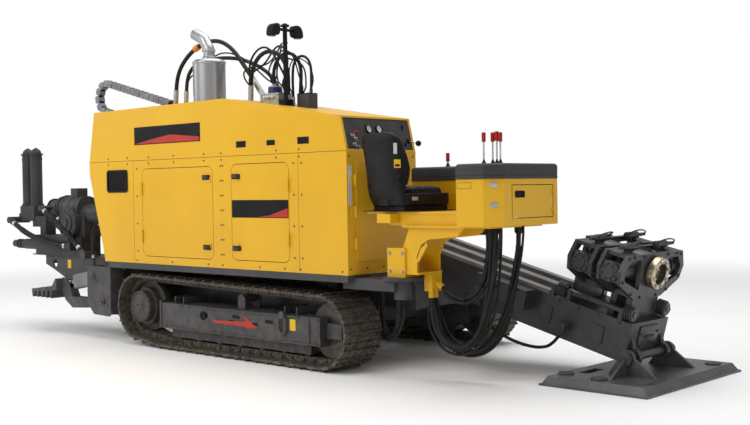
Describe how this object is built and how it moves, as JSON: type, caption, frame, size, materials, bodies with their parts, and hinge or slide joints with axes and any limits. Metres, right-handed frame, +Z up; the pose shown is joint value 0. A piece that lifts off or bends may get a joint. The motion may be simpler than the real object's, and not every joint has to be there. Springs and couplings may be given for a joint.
{
  "type": "horizontal directional drill",
  "caption": "Crawler horizontal directional drill with a tilted feed mast on its anchor plate, a hollow engine hood, a swing-out operator station, rod vises, a mud pump and rear outriggers.",
  "frame": {"origin": "on the ground, under the middle of the machine's box", "axes": "+X forward to the anchor plate along the tracks, +Y to the machine's left, +Z up"},
  "size_m": [7.583, 2.2015, 2.8205],
  "materials": {
    "body_yellow": "satin paint",
    "frame_grey": "satin paint",
    "mast_black": "satin paint",
    "track_steel": "worn steel",
    "cover_grey": "satin paint",
    "seat_black": "moulded plastic",
    "cushion": "vinyl",
    "bright_steel": "brushed",
    "chain_grey": "matte",
    "pump_grey": "satin paint",
    "hose_black": "matte rubber",
    "chrome": "polished rod",
    "dash_grey": "matte"
  },
  "bodies": {
    "chassis": {"chassis_frame": "frame_grey", "hood_floor": "frame_grey", "track_frame_right": "frame_grey", "track_frame_left": "frame_grey", "track_right": "track_steel", "track_left": "track_steel", "track_wheels_right": "frame_grey", "track_wheels_left": "frame_grey", "side_deck": "frame_grey", "hood_lower": "body_yellow", "hood_upper": "body_yellow", "dash_panel": "dash_grey", "engine_block": "pump_grey", "muffler": "bright_steel", "lamp_mast": "mast_black", "roof_valve": "chain_grey", "roof_box": "mast_black", "rear_deck": "frame_grey", "mud_pump": "pump_grey", "belly_hose_1": "hose_black", "outrigger_hose_1": "hose_black", "pump_hose_1": "hose_black", "pump_hose_2": "hose_black", "roof_hose_1": "hose_black", "roof_hose_2": "hose_black", "roof_hose_3": "hose_black", "roof_hose_4": "hose_black", "roof_hose_5": "hose_black"},
    "hood_door_rear": {"hood_door_rear": "body_yellow"},
    "hood_door_front": {"hood_door_front": "body_yellow"},
    "mast": {"mast_beam": "mast_black", "mast_rails": "bright_steel", "drag_chain": "chain_grey", "front_vise": "mast_black", "guide_bars": "mast_black", "mast_hose_1": "hose_black"},
    "turning_vise": {"rear_vise": "mast_black"},
    "anchor": {"anchor_plate": "frame_grey"},
    "drill_head": {"head_carriage": "mast_black", "drill_gearbox": "mast_black"},
    "spindle": {"drill_spindle": "bright_steel"},
    "lift_barrels": {"lift_barrels": "frame_grey"},
    "lift_rods": {"lift_rods": "chrome"},
    "station": {"station_arm": "body_yellow", "console_box": "body_yellow", "console_cover": "cover_grey", "control_levers": "bright_steel", "seat_shell": "seat_black", "seat_cushion": "cushion", "seat_back": "cushion", "station_hose_1": "hose_black", "station_hose_2": "hose_black", "station_hose_3": "hose_black"},
    "console_door": {"console_door": "body_yellow"},
    "leg_right": {"outrigger_leg_right": "frame_grey"},
    "leg_left": {"outrigger_leg_left": "frame_grey"},
    "leg_barrel_right": {"outrigger_barrel_right": "frame_grey"},
    "leg_barrel_left": {"outrigger_barrel_left": "frame_grey"},
    "leg_rod_right": {"outrigger_rod_right": "chrome"},
    "leg_rod_left": {"outrigger_rod_left": "chrome"}
  },
  "joints": [
    {"name": "mast_tilt", "type": "hinge", "parent": "chassis", "child": "mast", "pos_m": [1.25, 0.16, 0.52], "axis": [0, -1, 0], "range_deg": [0, 14.5]},
    {"name": "lift_barrel_turn", "type": "hinge", "parent": "chassis", "child": "lift_barrels", "pos_m": [0.6, 0.16, 0.38], "axis": [0, -1, 0], "range_deg": [-1, 21.99]},
    {"name": "lift_rod_slide", "type": "slide", "parent": "lift_barrels", "child": "lift_rods", "axis": [-0.8408, 0, 0.5414], "range_m": [-0.0991, 0.004]},
    {"name": "anchor_pivot", "type": "hinge", "parent": "mast", "child": "anchor", "pos_m": [3.41683, 0.16, 0.18376], "axis": [0, 1, 0], "range_deg": [-15, 15]},
    {"name": "vise_turn", "type": "hinge", "parent": "mast", "child": "turning_vise", "pos_m": [1.45018, 0.16, 1.29403], "axis": [0.9681, 0, -0.2504], "range_deg": [0, 25]},
    {"name": "head_feed", "type": "slide", "parent": "mast", "child": "drill_head", "axis": [0.9681, 0, -0.2504], "range_m": [0, 3.4]},
    {"name": "spindle_spin", "type": "hinge", "parent": "drill_head", "child": "spindle", "pos_m": [1.45018, 0.16, 1.29403], "axis": [0.9681, 0, -0.2504], "continuous": true},
    {"name": "station_swing", "type": "hinge", "parent": "chassis", "child": "station", "pos_m": [2.02, -0.89, 0.746], "axis": [0, 0, 1], "range_deg": [-75, 0]},
    {"name": "console_door_hinge", "type": "hinge", "parent": "station", "child": "console_door", "pos_m": [2.995, -0.3775, 1.285], "axis": [0, 0, 1], "range_deg": [0, 95]},
    {"name": "rear_door_hinge", "type": "hinge", "parent": "chassis", "child": "hood_door_rear", "pos_m": [-0.9745, -1.059, 1.207], "axis": [0, 0, -1], "range_deg": [0, 100]},
    {"name": "front_door_hinge", "type": "hinge", "parent": "chassis", "child": "hood_door_front", "pos_m": [0.9815, -1.059, 1.2145], "axis": [0, 0, 1], "range_deg": [0, 100]},
    {"name": "leg_right_drop", "type": "hinge", "parent": "chassis", "child": "leg_right", "pos_m": [-1.645, -0.975, 0.355], "axis": [0, -1, 0], "range_deg": [0, 25]},
    {"name": "leg_barrel_right_turn", "type": "hinge", "parent": "chassis", "child": "leg_barrel_right", "pos_m": [-1.807, -0.975, 0.585], "axis": [0, -1, 0], "range_deg": [-1, 28.31]},
    {"name": "leg_rod_right_slide", "type": "slide", "parent": "leg_barrel_right", "child": "leg_rod_right", "axis": [-0.9861, 0, -0.1661], "range_m": [-0.004, 0.1232]},
    {"name": "leg_left_drop", "type": "hinge", "parent": "chassis", "child": "leg_left", "pos_m": [-1.645, 0.975, 0.355], "axis": [0, -1, 0], "range_deg": [0, 25]},
    {"name": "leg_barrel_left_turn", "type": "hinge", "parent": "chassis", "child": "leg_barrel_left", "pos_m": [-1.807, 0.975, 0.585], "axis": [0, -1, 0], "range_deg": [-1, 28.31]},
    {"name": "leg_rod_left_slide", "type": "slide", "parent": "leg_barrel_left", "child": "leg_rod_left", "axis": [-0.9861, 0, -0.1661], "range_m": [-0.004, 0.1232]}
  ],
  "couplings": [
    {"joint": "lift_barrel_turn", "follows": "mast_tilt", "ratio": 1.4477},
    {"joint": "lift_rod_slide", "follows": "mast_tilt", "m_per_rad": -0.37562},
    {"joint": "leg_barrel_right_turn", "follows": "leg_right_drop", "ratio": 1.0923},
    {"joint": "leg_rod_right_slide", "follows": "leg_right_drop", "m_per_rad": 0.27311},
    {"joint": "leg_barrel_left_turn", "follows": "leg_left_drop", "ratio": 1.0923},
    {"joint": "leg_rod_left_slide", "follows": "leg_left_drop", "m_per_rad": 0.27311}
  ]
}
